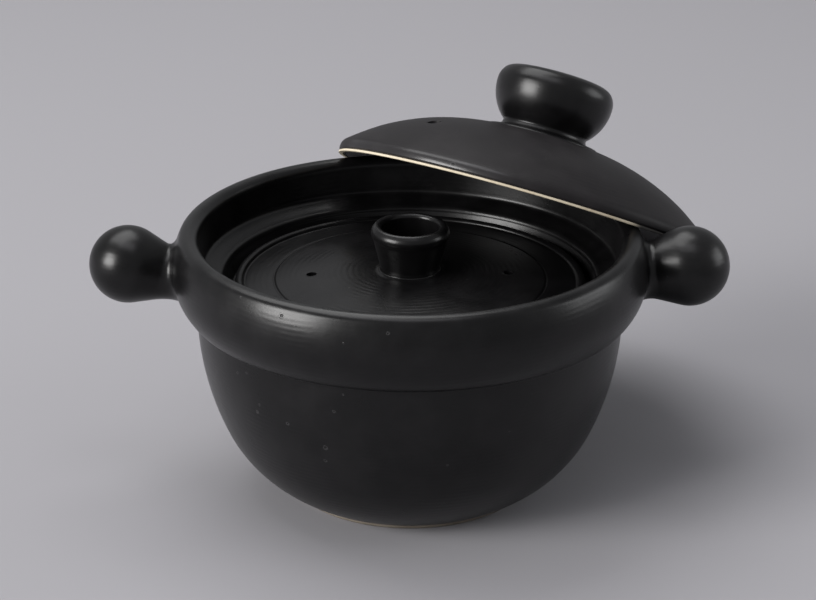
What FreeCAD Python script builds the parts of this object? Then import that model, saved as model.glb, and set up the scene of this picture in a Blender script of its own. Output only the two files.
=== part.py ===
"""Clay rice pot: a round pot with a thick collar and two ball knobs, a flat inner lid in its mouth,
and a domed outer lid that leans on the pot's lip at the back.

Millimetres. +Z is up, the origin is the centre of the flat foot on the table, and the knobs lie along X.
"""
import FreeCAD, Part
import math
import os

import Sketcher

# Driving sizes, in millimetres and degrees
SIZES = {
    # Foot and bowl of the pot, outside
    "foot_radius": 55.8,
    "foot_height": 2.0,
    "foot_chamfer": 0.8,
    "glaze_step": 1.4,
    "lower_swell": 3.95,
    "knee_inset": 13.3,
    "knee_height": 30.0,
    "bowl_radius": 98.1,
    "crease_height": 87.4,
    # Collar above the crease, and the lip
    "collar_edge_step": 3.6,
    "collar_edge_rise": 1.5,
    "collar_step": 11.0,
    "collar_rise": 19.6,
    "lip_inset": 7.6,
    "lip_rise": 13.0,
    "lip_round": 4.9,
    "lip_break": 20.0,
    # Ledge for the outer lid, inside the lip
    "well_inset": 6.1,
    "well_drop": 10.5,
    "ledge_step_width": 2.1,
    "ledge_step_drop": 2.8,
    "ledge_width": 5.3,
    "ledge_drop": 2.2,
    "ledge_nose": 2.9,
    # Seat for the inner lid, and the cooking space
    "seat_wall_height": 5.3,
    "seat_wall_width": 2.7,
    "seat_ring_width": 8.0,
    "cavity_mouth_drop": 3.0,
    "bowl_wall": 17.1,
    "cavity_drop": 25.4,
    "knee_wall": 14.3,
    "cavity_knee_lift": 3.0,
    "floor_radius": 30.0,
    "floor_thickness": 13.0,
    # Ball knobs of the pot
    "ball_standoff": 20.3,
    "ball_lift": 0.2,
    "ball_radius": 17.9,
    "ball_tilt": 12.5,
    "neck_taper": 18.0,
    "root_depth": 3.0,
    "root_round": 3.0,
    # Inner lid
    "rest_gap": 0.3,
    "inner_clearance": 1.7,
    "inner_rim_height": 3.7,
    "inner_bead_width": 4.4,
    "inner_bead_height": 1.2,
    "inner_groove_depth": 1.2,
    "inner_ring_inset": 18.2,
    "inner_ring_height": 4.9,
    "inner_ring_step": 0.6,
    "inner_dome_swell": 0.4,
    "inner_dome_height": 8.8,
    "inner_underside_inset": 10.7,
    "inner_underside_height": 3.0,
    "inner_chamfer": 1.0,
    "cup_bore_radius": 13.2,
    "cup_ring_round": 2.5,
    "cup_taper": 4.4,
    "cup_waist_height": 1.6,
    "cup_foot_flare": 1.5,
    "cup_height": 21.9,
    "cup_floor": 4.2,
    "cup_floor_round": 6.0,
    "inner_hole_diameter": 4.8,
    "inner_hole_inset": 17.2,
    "inner_hole_turn": 1.9,
    # Outer lid
    "lid_clearance": 3.3,
    "lid_rim_width": 2.8,
    "lid_rim_height": 4.8,
    "lid_shoulder": 3.9,
    "lid_flange_width": 10.6,
    "lid_flange_height": 14.1,
    "lid_dome_swell": 3.6,
    "lid_dome_height": 33.5,
    "lid_hollow_edge": 4.0,
    "lid_hollow_swell": 4.2,
    "lid_crown_radius": 30.0,
    "lid_crown_height": 19.2,
    "knob_offset": 0.9,
    "knob_ridge_radius": 28.0,
    "knob_ridge_width": 3.0,
    "knob_ridge_height": 1.1,
    "knob_neck_radius": 20.8,
    "knob_neck_height": 4.4,
    "knob_radius": 29.0,
    "knob_wide_height": 22.6,
    "knob_shoulder_radius": 24.4,
    "knob_shoulder_height": 30.9,
    "knob_height": 32.8,
    "lid_hole_diameter": 5.0,
    "lid_hole_reach": 64.7,
    "lid_hole_turn": 215.2,
    # How the outer lid leans on the lip
    "lean_toward": 55.3,
    "crown_inset": 7.5,
}

doc = FreeCAD.newDocument("clay_rice_pot")
sheet = doc.addObject("Spreadsheet::Sheet", "dim")
for row, (name, value) in enumerate(SIZES.items(), start=1):
    sheet.set(f"A{row}", name)
    sheet.set(f"B{row}", str(value))
    sheet.setAlias(f"B{row}", name)
doc.recompute()


def expression(text):
    """Writes a size formula with each size name pointed at the sheet."""
    words = []
    word = ""
    for letter in text + " ":
        if letter.isalnum() or letter == "_":
            word += letter
            continue
        words.append(f"dim.{word}" if word in SIZES else word)
        words.append(letter)
        word = ""
    return "".join(words).strip()


def number(text):
    """Value of a size formula."""
    value = sheet.evalExpression(expression(text))
    return float(getattr(value, "Value", value))


def origin_plane(body, role):
    """One of the body's own origin planes or axes."""
    return next(feature for feature in body.Origin.OriginFeatures if feature.Role == role)


def new_sketch(body, name, role):
    """A sketch of the body on its own origin plane."""
    sketch = body.newObject("Sketcher::SketchObject", name)
    sketch.AttachmentSupport = (origin_plane(body, role), [""])
    sketch.MapMode = "FlatFace"
    return sketch


def bind_point(sketch, geometry, position, across, up):
    """Ties a point of the sketch to two size formulas, measured from the sketch's origin."""
    for kind, text in (("DistanceX", across), ("DistanceY", up)):
        if text == "0":
            axis = -2 if kind == "DistanceX" else -1
            sketch.addConstraint(Sketcher.Constraint("PointOnObject", geometry, position, axis))
            continue
        row = sketch.addConstraint(Sketcher.Constraint(kind, -1, 1, geometry, position, number(text)))
        sketch.setExpression(f"Constraints[{row}]", expression(text))


def arc_centre_level(start, end, at_end):
    """Centre of the arc from start to end whose tangent is upright at one of them."""
    near, far = (end, start) if at_end else (start, end)
    run = near[0] - far[0]
    rise = near[1] - far[1]
    radius = (run ** 2 + rise ** 2) / (2 * run)
    return FreeCAD.Vector(near[0] - radius, near[1], 0)


def arc_centre_plumb(start, end, at_end):
    """Centre of the arc from start to end whose tangent is flat at one of them."""
    near, far = (end, start) if at_end else (start, end)
    run = near[0] - far[0]
    rise = near[1] - far[1]
    radius = (run ** 2 + rise ** 2) / (2 * rise)
    return FreeCAD.Vector(near[0], near[1] - radius, 0)


def arc_middle(start, end, centre):
    """Point half way along the shorter arc about the centre."""
    chord = FreeCAD.Vector((start[0] + end[0]) / 2, (start[1] + end[1]) / 2, 0)
    radius = math.hypot(start[0] - centre.x, start[1] - centre.y)
    outward = chord.sub(centre)
    return centre.add(outward.normalize().multiply(radius))


def outline(body, name, role, points, spans):
    """Closed sketch through points given as pairs of formulas.

    spans[i] joins point i to the next one. It is "line", ("through", across, up) for an arc by way of a
    point, or ("level" | "plumb", "start" | "end") for an arc that is upright or flat at that end.
    """
    sketch = new_sketch(body, name, role)
    places = [(number(across), number(up)) for across, up in points]
    count = len(points)
    pieces = []
    for index, span in enumerate(spans):
        start = places[index]
        end = places[(index + 1) % count]
        start_vector = FreeCAD.Vector(start[0], start[1], 0)
        end_vector = FreeCAD.Vector(end[0], end[1], 0)
        if span == "line":
            piece = sketch.addGeometry(Part.LineSegment(start_vector, end_vector), False)
            pieces.append((piece, 1, 2))
            continue
        kind = span[0]
        if kind == "through":
            middle = FreeCAD.Vector(number(span[1]), number(span[2]), 0)
        else:
            place_centre = arc_centre_level if kind == "level" else arc_centre_plumb
            middle = arc_middle(start, end, place_centre(start, end, span[1] == "end"))
        arc = Part.Arc(start_vector, middle, end_vector)
        piece = sketch.addGeometry(arc, False)
        # A sketch keeps each arc counterclockwise, so its first point can be the later one
        forward = sketch.getPoint(piece, 1).distanceToPoint(start_vector) < 1e-6
        ends = (1, 2) if forward else (2, 1)
        pieces.append((piece, *ends))
        if kind == "through":
            marker = sketch.addGeometry(Part.Point(middle), True)
            bind_point(sketch, marker, 1, span[1], span[2])
            sketch.addConstraint(Sketcher.Constraint("PointOnObject", marker, 1, piece))
        else:
            side = ends[1] if span[1] == "end" else ends[0]
            straight = "Horizontal" if kind == "level" else "Vertical"
            sketch.addConstraint(Sketcher.Constraint(straight, piece, 3, piece, side))
    for index, (piece, first, last) in enumerate(pieces):
        next_piece, next_first, _ = pieces[(index + 1) % count]
        sketch.addConstraint(Sketcher.Constraint("Coincident", piece, last, next_piece, next_first))
        bind_point(sketch, piece, first, *points[index])
    return sketch


def full_turn(body, name, sketch, axis):
    """Revolves a sketch by a full turn."""
    feature = body.newObject("PartDesign::Revolution", name)
    feature.Profile = sketch
    feature.ReferenceAxis = axis
    feature.Angle = 360
    return feature


def through_holes(body, name, diameter, places):
    """Round holes along Z, right through the body, at places given as pairs of formulas."""
    sketch = new_sketch(body, name + "_sketch", "XY_Plane")
    for across, up in places:
        centre = FreeCAD.Vector(number(across), number(up), 0)
        ring = Part.Circle(centre, FreeCAD.Vector(0, 0, 1), number(diameter) / 2)
        circle = sketch.addGeometry(ring, False)
        row = sketch.addConstraint(Sketcher.Constraint("Diameter", circle, number(diameter)))
        sketch.setExpression(f"Constraints[{row}]", expression(diameter))
        bind_point(sketch, circle, 3, across, up)
    pocket = body.newObject("PartDesign::Pocket", name)
    pocket.Profile = sketch
    pocket.Type = "ThroughAll"
    pocket.Midplane = True
    return pocket


# Radii and heights of the pot, each measured from the one before it
KNEE_RADIUS = "(bowl_radius - knee_inset)"
LOWER_RADIUS = f"(foot_radius + glaze_step + {KNEE_RADIUS}) / 2 + lower_swell"
COLLAR_RADIUS = "(bowl_radius + collar_step)"
COLLAR_HEIGHT = "(crease_height + collar_rise)"
LIP_RADIUS = f"({COLLAR_RADIUS} - lip_inset)"
LIP_HEIGHT = f"({COLLAR_HEIGHT} + lip_rise)"
LIP_OUT = "lip_round * cos(lip_break * 1 deg)"
LIP_UP = "lip_round * sin(lip_break * 1 deg)"
WELL_RADIUS = f"({LIP_RADIUS} - well_inset)"
WELL_HEIGHT = f"({LIP_HEIGHT} - well_drop)"
LEDGE_RADIUS = f"({WELL_RADIUS} - ledge_step_width)"
LEDGE_HEIGHT = f"({WELL_HEIGHT} - ledge_step_drop)"
NOSE_RADIUS = f"({LEDGE_RADIUS} - ledge_width)"
NOSE_HEIGHT = f"({LEDGE_HEIGHT} - ledge_drop)"
SEAT_OUTER = f"({NOSE_RADIUS} - ledge_nose - seat_wall_width)"
SEAT_INNER = f"({SEAT_OUTER} - seat_ring_width)"
SEAT_HEIGHT = f"({NOSE_HEIGHT} - ledge_nose - seat_wall_height)"

# The pot: foot, bowl, collar, lip, ledge, seat and cooking space in one turned outline
pot = doc.addObject("PartDesign::Body", "pot")
pot.Label = "pot"
pot_points = [
    ("0", "0"),
    ("foot_radius - foot_chamfer", "0"),
    ("foot_radius", "foot_chamfer"),
    ("foot_radius", "foot_height"),
    ("foot_radius + glaze_step", "foot_height + glaze_step * 0.3"),
    (KNEE_RADIUS, "knee_height"),
    ("bowl_radius", "crease_height"),
    ("bowl_radius + collar_edge_step", "crease_height + collar_edge_rise"),
    (COLLAR_RADIUS, COLLAR_HEIGHT),
    (f"{LIP_RADIUS} + {LIP_OUT}", f"{LIP_HEIGHT} + {LIP_UP}"),
    (f"{LIP_RADIUS} - lip_round", LIP_HEIGHT),
    (WELL_RADIUS, WELL_HEIGHT),
    (LEDGE_RADIUS, LEDGE_HEIGHT),
    (NOSE_RADIUS, NOSE_HEIGHT),
    (f"{NOSE_RADIUS} - ledge_nose", f"{NOSE_HEIGHT} - ledge_nose"),
    (SEAT_OUTER, SEAT_HEIGHT),
    (SEAT_INNER, SEAT_HEIGHT),
    (SEAT_INNER, f"{SEAT_HEIGHT} - cavity_mouth_drop"),
    ("bowl_radius - bowl_wall", "crease_height - cavity_drop"),
    (f"{KNEE_RADIUS} - knee_wall", "knee_height + cavity_knee_lift"),
    ("floor_radius", "floor_thickness"),
    ("0", "floor_thickness"),
]
pot_spans = [
    "line",
    "line",
    "line",
    "line",
    ("through", LOWER_RADIUS, "(foot_height + knee_height) / 2"),
    ("level", "end"),
    "line",
    ("level", "end"),
    ("level", "start"),
    ("through", LIP_RADIUS, f"{LIP_HEIGHT} + lip_round"),
    "line",
    ("through", f"({WELL_RADIUS} * 3 + {LEDGE_RADIUS}) / 4", f"({WELL_HEIGHT} + {LEDGE_HEIGHT} * 2) / 3"),
    "line",
    ("level", "end"),
    "line",
    "line",
    "line",
    ("level", "end"),
    ("level", "start"),
    ("plumb", "end"),
    "line",
    "line",
]
pot_outline = outline(pot, "pot_outline", "XZ_Plane", pot_points, pot_spans)
full_turn(pot, "pot_turned", pot_outline, (pot_outline, ["V_Axis"]))
doc.recompute()

# One ball knob with a tapering neck, turned about its own slightly rising axis, and its mirror image
BALL_REACH = f"({COLLAR_RADIUS} + ball_standoff)"
BALL_HEIGHT = f"({COLLAR_HEIGHT} + ball_lift)"
ROOT_SETBACK = "(ball_standoff + lip_inset + root_depth)"
TAPER = "(neck_taper * 1 deg)"
ball_points = [
    (f"-{ROOT_SETBACK}", "0"),
    ("ball_radius", "0"),
    (f"-ball_radius * sin({TAPER})", f"ball_radius * cos({TAPER})"),
    (f"-{ROOT_SETBACK}", f"(ball_radius - {ROOT_SETBACK} * sin({TAPER})) / cos({TAPER})"),
]
ball_spans = [
    "line",
    ("through", "0", "ball_radius"),
    "line",
    "line",
]
ball_outline = outline(pot, "ball_outline", "XZ_Plane", ball_points, ball_spans)
ball_outline.AttachmentOffset = FreeCAD.Placement(
    FreeCAD.Vector(number(BALL_REACH), number(BALL_HEIGHT), 0),
    FreeCAD.Rotation(FreeCAD.Vector(0, 0, 1), number("ball_tilt")),
)
ball_outline.setExpression("AttachmentOffset.Base.x", expression(BALL_REACH))
ball_outline.setExpression("AttachmentOffset.Base.y", expression(BALL_HEIGHT))
ball_outline.setExpression("AttachmentOffset.Rotation.Angle", "dim.ball_tilt")
ball = full_turn(pot, "ball_knob", ball_outline, (ball_outline, ["H_Axis"]))
doc.recompute()
balls = pot.newObject("PartDesign::Mirrored", "ball_knobs")
balls.Originals = [ball]
balls.MirrorPlane = (origin_plane(pot, "YZ_Plane"), [""])
pot.Tip = balls
doc.recompute()

# The clay is smoothed where each neck meets the collar
joins = [
    f"Edge{place}"
    for place, edge in enumerate(balls.Shape.Edges, start=1)
    if not edge.Degenerated and isinstance(edge.Curve, Part.BSplineCurve)
]
roots = pot.newObject("PartDesign::Fillet", "knob_roots")
roots.Base = (balls, joins)
roots.Radius = number("root_round")
roots.setExpression("Radius", "dim.root_round")
pot.Tip = roots
doc.recompute()

# The inner lid, in its own frame: its flat underside is at z = 0
INNER_RADIUS = f"({SEAT_OUTER} - inner_clearance)"
INNER_BEAD = f"({SEAT_OUTER} - inner_clearance - inner_bead_width)"
INNER_RING = f"({INNER_RADIUS} - inner_ring_inset)"
INNER_DOME_MIDDLE = "(inner_ring_height + inner_dome_height) / 2 + inner_dome_swell"
CUP_RING = "(cup_bore_radius + cup_ring_round * 2)"
CUP_WAIST = f"({CUP_RING} - cup_taper)"
CUP_FOOT = f"({CUP_RING} - cup_taper + cup_foot_flare)"
CUP_RING_HEIGHT = "inner_dome_height + cup_height - cup_ring_round"
inner_lid = doc.addObject("PartDesign::Body", "inner_lid")
inner_lid.Label = "inner_lid"
inner_points = [
    ("0", "inner_underside_height"),
    (f"{INNER_RADIUS} - inner_underside_inset", "0"),
    (f"{INNER_RADIUS} - inner_chamfer", "0"),
    (INNER_RADIUS, "inner_chamfer"),
    (INNER_RADIUS, "inner_rim_height"),
    (INNER_BEAD, "inner_rim_height"),
    (f"{INNER_BEAD} - inner_groove_depth", "inner_rim_height + inner_groove_depth * 0.25"),
    (f"{INNER_RING} + inner_ring_step", "inner_ring_height"),
    (INNER_RING, "inner_ring_height - inner_ring_step"),
    (f"{INNER_RING} - inner_ring_step", "inner_ring_height + inner_ring_step * 0.5"),
    (CUP_FOOT, "inner_dome_height"),
    (CUP_WAIST, "inner_dome_height + cup_waist_height"),
    (CUP_RING, CUP_RING_HEIGHT),
    ("cup_bore_radius", CUP_RING_HEIGHT),
    ("cup_bore_radius", "inner_dome_height + cup_floor + cup_floor_round"),
    ("cup_bore_radius - cup_floor_round", "inner_dome_height + cup_floor"),
    ("0", "inner_dome_height + cup_floor"),
]
inner_spans = [
    ("plumb", "start"),
    "line",
    "line",
    "line",
    ("through", f"({INNER_RADIUS} + {INNER_BEAD}) / 2", "inner_rim_height + inner_bead_height"),
    "line",
    "line",
    "line",
    "line",
    ("through", f"({INNER_RING} + {CUP_FOOT}) / 2", INNER_DOME_MIDDLE),
    ("level", "end"),
    "line",
    ("through", "cup_bore_radius + cup_ring_round", "inner_dome_height + cup_height"),
    "line",
    ("level", "start"),
    "line",
    "line",
]
inner_outline = outline(inner_lid, "inner_outline", "XZ_Plane", inner_points, inner_spans)
full_turn(inner_lid, "inner_turned", inner_outline, (inner_outline, ["V_Axis"]))
doc.recompute()
HOLE_ACROSS = f"({INNER_RING} - inner_hole_inset) * cos(inner_hole_turn * 1 deg)"
HOLE_UP = f"({INNER_RING} - inner_hole_inset) * sin(inner_hole_turn * 1 deg)"
through_holes(
    inner_lid,
    "steam_holes",
    "inner_hole_diameter",
    [(HOLE_ACROSS, HOLE_UP), (f"-({HOLE_ACROSS})", f"-({HOLE_UP})")],
)
inner_lid.setExpression("Placement.Base.z", expression(f"{SEAT_HEIGHT} + rest_gap"))
doc.recompute()

# The outer lid, in its own frame: its flat bare rim is at z = 0
LID_RADIUS = f"({WELL_RADIUS} - lid_clearance)"
LID_EDGE = f"({LID_RADIUS} - lid_rim_width)"
LID_FLANGE = f"({LID_RADIUS} - lid_flange_width)"
HOLLOW_RADIUS = f"({LID_EDGE} - lid_hollow_edge * 0.3)"
HOLLOW_MIDDLE = "(lid_crown_height + lid_hollow_edge) / 2 + lid_hollow_swell"
DOME_TOP = "lid_dome_height"
DOME_MIDDLE = "(lid_flange_height * 2 + lid_dome_height) / 3 + lid_dome_swell"
outer_lid = doc.addObject("PartDesign::Body", "outer_lid")
outer_lid.Label = "outer_lid"
outer_points = [
    ("0", "lid_crown_height"),
    ("lid_crown_radius", "lid_crown_height"),
    (HOLLOW_RADIUS, "lid_hollow_edge"),
    (LID_EDGE, "0"),
    (LID_RADIUS, "0"),
    (LID_RADIUS, "lid_rim_height"),
    (f"{LID_RADIUS} - lid_shoulder", "lid_rim_height + lid_shoulder"),
    (LID_FLANGE, "lid_flange_height"),
    ("knob_ridge_radius", DOME_TOP),
    ("0", DOME_TOP),
]
outer_spans = [
    "line",
    ("through", f"(lid_crown_radius + {HOLLOW_RADIUS}) / 2", HOLLOW_MIDDLE),
    "line",
    "line",
    "line",
    ("level", "start"),
    "line",
    ("through", f"({LID_FLANGE} * 2 + knob_ridge_radius) / 3", DOME_MIDDLE),
    "line",
    "line",
]
outer_outline = outline(outer_lid, "outer_outline", "XZ_Plane", outer_points, outer_spans)
full_turn(outer_lid, "outer_turned", outer_outline, (outer_outline, ["V_Axis"]))
doc.recompute()

# The lid's knob with the ridge round its foot, a little off the middle of the dome
knob_points = [
    ("0", f"{DOME_TOP} - knob_ridge_width"),
    ("knob_ridge_radius", f"{DOME_TOP} - knob_ridge_width"),
    ("knob_ridge_radius - knob_ridge_height * 0.5", f"{DOME_TOP} + knob_ridge_height"),
    ("knob_ridge_radius - knob_ridge_width", f"{DOME_TOP} + knob_ridge_height"),
    ("knob_neck_radius", f"{DOME_TOP} + knob_neck_height"),
    ("knob_radius", f"{DOME_TOP} + knob_wide_height"),
    ("knob_shoulder_radius", f"{DOME_TOP} + knob_shoulder_height"),
    ("0", f"{DOME_TOP} + knob_height"),
]
knob_spans = [
    "line",
    "line",
    "line",
    ("level", "end"),
    ("level", "end"),
    ("level", "start"),
    ("plumb", "end"),
    "line",
]
knob_outline = outline(outer_lid, "knob_outline", "XZ_Plane", knob_points, knob_spans)
knob_outline.AttachmentOffset = FreeCAD.Placement(
    FreeCAD.Vector(number("knob_offset"), 0, 0), FreeCAD.Rotation()
)
knob_outline.setExpression("AttachmentOffset.Base.x", "dim.knob_offset")
full_turn(outer_lid, "lid_knob", knob_outline, (knob_outline, ["V_Axis"]))
doc.recompute()
through_holes(
    outer_lid,
    "steam_hole",
    "lid_hole_diameter",
    [("lid_hole_reach * cos(lid_hole_turn * 1 deg)", "lid_hole_reach * sin(lid_hole_turn * 1 deg)")],
)
doc.recompute()


def crown_on_lip(lean):
    """Height of the lid's rim centre when the crown of its hollow rests on the lip."""
    inset = number("crown_inset")
    reach = number("lip_round + rest_gap - lid_crown_height")
    return number(LIP_HEIGHT) + (inset * math.sin(lean) + reach) / math.cos(lean)


def edge_gap(lean):
    """Room between the inner edge of the lid's rim and the lip, less the wanted gap."""
    edge_radius = number(LID_EDGE)
    lip_radius = number(LIP_RADIUS)
    outward = number(f"{LIP_RADIUS} - crown_inset")
    height = crown_on_lip(lean) - number(LIP_HEIGHT)
    gaps = []
    for step in range(361):
        turn = math.radians(step / 4)
        radial = outward - edge_radius * math.sin(turn) * math.cos(lean)
        aside = edge_radius * math.cos(turn)
        rise = height + edge_radius * math.sin(turn) * math.sin(lean)
        gaps.append(math.hypot(math.hypot(radial, aside) - lip_radius, rise))
    return min(gaps) - number("lip_round + rest_gap")


def lean_angle():
    """Lean at which the lid touches the lip with its crown and, on both sides, with its rim."""
    # From the steepest lean down, the first step in which the edge comes onto the lip or off it
    leans = [math.radians(60 - 0.5 * step) for step in range(100)]
    gaps = [edge_gap(lean) for lean in leans]
    crossing = [place for place in range(1, 100) if gaps[place - 1] * gaps[place] < 0]
    if not crossing:
        # A lid too small to reach both sides stays as close to the lip as it can
        return min(leans, key=lambda lean: abs(edge_gap(lean)))
    low = leans[crossing[0]]
    high = leans[crossing[0] - 1]
    for _ in range(40):
        middle = (low + high) / 2
        if edge_gap(low) * edge_gap(middle) > 0:
            low = middle
        else:
            high = middle
    return (low + high) / 2


toward = math.radians(number("lean_toward"))
outward = number(f"{LIP_RADIUS} - crown_inset")
lean = lean_angle()
lean_axis = FreeCAD.Vector(-math.sin(toward), math.cos(toward), 0)
outer_lid.Placement = FreeCAD.Placement(
    FreeCAD.Vector(outward * math.cos(toward), outward * math.sin(toward), crown_on_lip(lean)),
    FreeCAD.Rotation(lean_axis, math.degrees(lean)),
)
doc.recompute()

# Every object is sound before anything is written
for item in doc.Objects:
    if "Invalid" in item.State or "Error" in item.State:
        raise RuntimeError(f"{item.Name} failed: {item.State}")
for body in (pot, inner_lid, outer_lid):
    if body.Shape.isNull() or not body.Shape.isValid():
        raise RuntimeError(f"{body.Label} has no sound shape")

os.makedirs("parts", exist_ok=True)
for body in (pot, inner_lid, outer_lid):
    body.Shape.exportStep(f"parts/{body.Label}.step")
    print(body.Label, round(body.Shape.Volume / 1000, 1), "cm3", body.Shape.BoundBox)
print("lean", round(math.degrees(lean), 2), "rim centre", outer_lid.Placement.Base)
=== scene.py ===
"""The clay rice pot: a thrown pot, its flat inner lid and its domed outer lid, in satin black glaze.

Sizes are in millimetres, while the scene itself is in metres.
Contours are half sections, radius first and height second.
"""
from __future__ import annotations

import logging
import math
from dataclasses import dataclass, field
from enum import Enum
from typing import Any, Optional, Sequence, Union

import bpy
from mathutils import Matrix, Vector


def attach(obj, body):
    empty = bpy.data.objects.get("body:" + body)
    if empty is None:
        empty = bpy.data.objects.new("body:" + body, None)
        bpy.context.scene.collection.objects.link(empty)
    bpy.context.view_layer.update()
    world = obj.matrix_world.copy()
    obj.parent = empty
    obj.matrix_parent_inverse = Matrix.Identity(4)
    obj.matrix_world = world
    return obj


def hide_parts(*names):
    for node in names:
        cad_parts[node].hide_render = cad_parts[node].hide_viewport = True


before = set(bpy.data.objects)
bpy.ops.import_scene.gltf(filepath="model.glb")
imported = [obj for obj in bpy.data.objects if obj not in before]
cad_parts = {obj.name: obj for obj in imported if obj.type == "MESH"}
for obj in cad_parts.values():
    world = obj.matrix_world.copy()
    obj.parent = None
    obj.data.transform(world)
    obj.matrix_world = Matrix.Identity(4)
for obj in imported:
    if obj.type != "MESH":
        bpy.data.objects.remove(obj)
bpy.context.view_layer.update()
MM = 0.001
TINY = 1e-9
CORNER_STEPS = 5

log =logging.getLogger("rice_pot")

Point = tuple[float, float]
Place = tuple[float, float, float]
Colour = tuple[float, float, float]
Piece = bpy.types.Object
Value = Union["Wire", float, int]


class Clay(Enum):
    """The two finishes that the record names."""

    GLAZED = "black_glaze"
    BARE = "bare_clay"


class Wire:
    """One shader socket that adds Math nodes when it is used in an expression."""

    def __init__(self, bench: "Bench", socket: bpy.types.NodeSocket) -> None:
        """Wraps a socket of the bench's node tree."""
        self.bench = bench
        self.socket = socket

    def _math(self, operation: str, *values: Value) -> "Wire":
        """Adds one Math node and returns its result."""
        return self.bench.node("ShaderNodeMath", {"operation": operation}, dict(enumerate(values)))

    def __add__(self, other: Value) -> "Wire":
        """Sum."""
        return self._math("ADD", self, other)

    __radd__ = __add__

    def __mul__(self, other: Value) -> "Wire":
        """Product."""
        return self._math("MULTIPLY", self, other)

    __rmul__ = __mul__

    def __sub__(self, other: Value) -> "Wire":
        """Difference."""
        return self._math("SUBTRACT", self, other)

    def __rsub__(self, other: Value) -> "Wire":
        """Difference, the other way round."""
        return self._math("SUBTRACT", other, self)

    def __truediv__(self, other: Value) -> "Wire":
        """Quotient."""
        return self._math("DIVIDE", self, other)

    def most(self, other: Value) -> "Wire":
        """Larger of the two."""
        return self._math("MAXIMUM", self, other)

    def sine(self) -> "Wire":
        """Sine."""
        return self._math("SINE", self)

    def step(self, low: float, high: float) -> "Wire":
        """Smooth step from 0 at low to 1 at high.

        Args:
            low: Value at which the result is 0.
            high: Value at which the result is 1. It may be the smaller one.

        Returns:
            The smoothed result.
        """
        settings = {"interpolation_type": "SMOOTHSTEP"}
        if low < high:
            values = {"Value": self, "From Min": low, "From Max": high, "To Min": 0.0, "To Max": 1.0}
        else:
            values = {"Value": self, "From Min": high, "From Max": low, "To Min": 1.0, "To Max": 0.0}
        return self.bench.node("ShaderNodeMapRange", settings, values)


class Bench:
    """Node tree of one material, with one method that adds any node."""

    def __init__(self, name: str) -> None:
        """Starts a material with a single Principled shader."""
        self.material = bpy.data.materials.new(name)
        self.material.use_nodes = True
        self.tree = self.material.node_tree
        self.shader = next(node for node in self.tree.nodes if node.type == "BSDF_PRINCIPLED")

    def node(
        self,
        kind: str,
        settings: dict[str, Any],
        inputs: dict[Union[str, int], Any],
        output: Union[str, int] = 0,
    ) -> Wire:
        """Adds a node.

        Args:
            kind: Node type, such as ShaderNodeTexNoise.
            settings: Properties that are set before the sockets.
            inputs: Values or wires by socket name or place.
            output: Socket that the result comes from.

        Returns:
            The wire of that socket.
        """
        made = self.tree.nodes.new(kind)
        for name, value in settings.items():
            setattr(made, name, value)
        for name, value in inputs.items():
            self._feed(made.inputs[name], value)
        return Wire(self, made.outputs[output])

    def put(self, name: str, value: Any) -> None:
        """Sets a socket of the shader to a value, or links it to a wire."""
        self._feed(self.shader.inputs[name], value)

    def _feed(self, socket: bpy.types.NodeSocket, value: Any) -> None:
        """Sets a socket to a value, or links it to a wire."""
        if isinstance(value, Wire):
            self.tree.links.new(value.socket, socket)
        elif isinstance(value, (tuple, list)) and socket.type == "RGBA":
            socket.default_value = (*value, 1.0)
        else:
            socket.default_value = value

    def noise(self, place: Wire, per_metre: float, detail: float = 2.0, rough: float = 0.5) -> Wire:
        """Noise between 0 and 1 at so many grains per metre."""
        values = {"Vector": place, "Scale": per_metre, "Detail": detail, "Roughness": rough}
        return self.node("ShaderNodeTexNoise", {}, values, "Fac")

    def own_place(self, pose: "Pose") -> Wire:
        """Object coordinates turned back to the piece's own upright frame."""
        place = self.node("ShaderNodeTexCoord", {}, {}, "Object")
        return self.node(
            "ShaderNodeMapping",
            {"vector_type": "TEXTURE"},
            {"Vector": place, "Location": tuple(pose.origin), "Rotation": tuple(pose.turn.to_euler())},
        )

    def ragged(self, place: Wire, per_metre: float, reach: float) -> Wire:
        """Coordinates pushed about by noise, so that small round marks lose their evenness."""
        values = {"Vector": place, "Scale": per_metre, "Detail": 1.0}
        push = self.node("ShaderNodeTexNoise", {}, values, "Color")
        push = self.node("ShaderNodeVectorMath", {"operation": "SUBTRACT"}, {0: push, 1: (0.5, 0.5, 0.5)})
        push = self.node("ShaderNodeVectorMath", {"operation": "SCALE"}, {0: push, "Scale": reach * 2})
        return self.node("ShaderNodeVectorMath", {"operation": "ADD"}, {0: place, 1: push})

    def away(self, place: Wire, spot: "Spot") -> Wire:
        """Distance from the middle of a spot, in metres."""
        middle = tuple(value * MM for value in spot.place)
        return self.node("ShaderNodeVectorMath", {"operation": "DISTANCE"}, {0: place, 1: middle}, "Value")

    def mix(self, share: Wire, first: Any, second: Any) -> Wire:
        """Colour between two others: the first where the share is 0, the second where it is 1."""
        return self.node("ShaderNodeMix", {"data_type": "RGBA"}, {"Factor": share, 6: first, 7: second}, 2)

    def bump(self, height: Wire) -> Wire:
        """Bump of a height in metres."""
        return self.node("ShaderNodeBump", {}, {"Height": height, "Distance": 1.0, "Strength": 1.0}, "Normal")


@dataclass
class Pose:
    """Where a piece that was thrown upright at the origin stands."""

    origin: Vector = field(default_factory=Vector)
    turn: Matrix = field(default_factory=lambda: Matrix.Identity(3))

    def matrix(self) -> Matrix:
        """The pose as one matrix."""
        return Matrix.Translation(self.origin) @ self.turn.to_4x4()


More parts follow.
